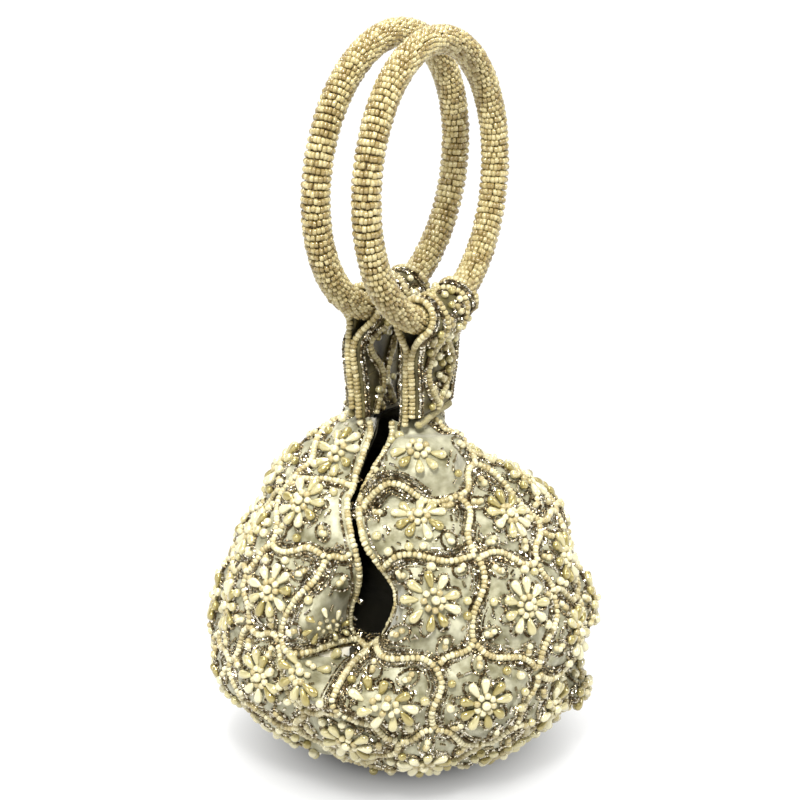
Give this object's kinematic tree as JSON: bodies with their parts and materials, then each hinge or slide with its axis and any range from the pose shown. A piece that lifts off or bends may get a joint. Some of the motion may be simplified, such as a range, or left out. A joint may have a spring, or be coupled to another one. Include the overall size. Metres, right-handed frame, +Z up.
{
  "type": "evening bag",
  "caption": "Soft two-panel evening pouch with side slits, bead embroidery and a pair of bead-wrapped ring handles held in folded straps.",
  "frame": {"origin": "centre of the flat base on the ground", "axes": "+Z up through the neck towards the rings; -Y out of the front panel; the side slits face -X and +X"},
  "size_m": [0.1296, 0.1272, 0.2437],
  "materials": {
    "satin": "pale grey-green satin ground, embroidered",
    "interlining": "plain woven interlining",
    "lining": "plain satin lining",
    "binding": "rolled satin binding",
    "ring_resin": "moulded resin ring",
    "cream_bead": "opaque lustred seed beads",
    "pearl": "cream imitation pearl",
    "silver_purl": "twisted silver wire purl"
  },
  "bodies": {
    "pouch": {"front_shell": "satin", "front_interlining": "interlining", "front_lining": "lining", "back_shell": "satin", "back_interlining": "interlining", "back_lining": "lining"},
    "front_strap": {"front_inner_strap": "satin", "front_outer_strap": "satin", "front_hem": "binding"},
    "front_loop": {"front_casing": "satin"},
    "front_ring": {"front_ring_core": "ring_resin", "front_bead_wrap": "cream_bead"},
    "back_strap": {"back_inner_strap": "satin", "back_outer_strap": "satin", "back_hem": "binding"},
    "back_loop": {"back_casing": "satin"},
    "back_ring": {"back_ring_core": "ring_resin", "back_bead_wrap": "cream_bead"}
  },
  "joints": [
    {"name": "front_neck_fold", "type": "hinge", "parent": "pouch", "child": "front_strap", "pos_m": [0, -0.009, 0.112], "axis": [1, 0, 0], "range_deg": [-1.2, 25]},
    {"name": "front_loop_fold", "type": "hinge", "parent": "front_strap", "child": "front_loop", "pos_m": [0, -0.0133, 0.144], "axis": [1, 0, 0], "range_deg": [0, 110]},
    {"name": "front_ring_turn", "type": "hinge", "parent": "front_loop", "child": "front_ring", "pos_m": [-0.00296, -0.0116, 0.195], "axis": [0, 0.9997, -0.0262], "continuous": true},
    {"name": "back_neck_fold", "type": "hinge", "parent": "pouch", "child": "back_strap", "pos_m": [0, 0.013, 0.112], "axis": [-1, 0, 0], "range_deg": [-1.2, 25]},
    {"name": "back_loop_fold", "type": "hinge", "parent": "back_strap", "child": "back_loop", "pos_m": [0, 0.015, 0.144], "axis": [-1, 0, 0], "range_deg": [0, 110]},
    {"name": "back_ring_turn", "type": "hinge", "parent": "back_loop", "child": "back_ring", "pos_m": [0.00296, 0.0076, 0.195], "axis": [0.0384, 0.9989, 0.0262], "continuous": true}
  ]
}
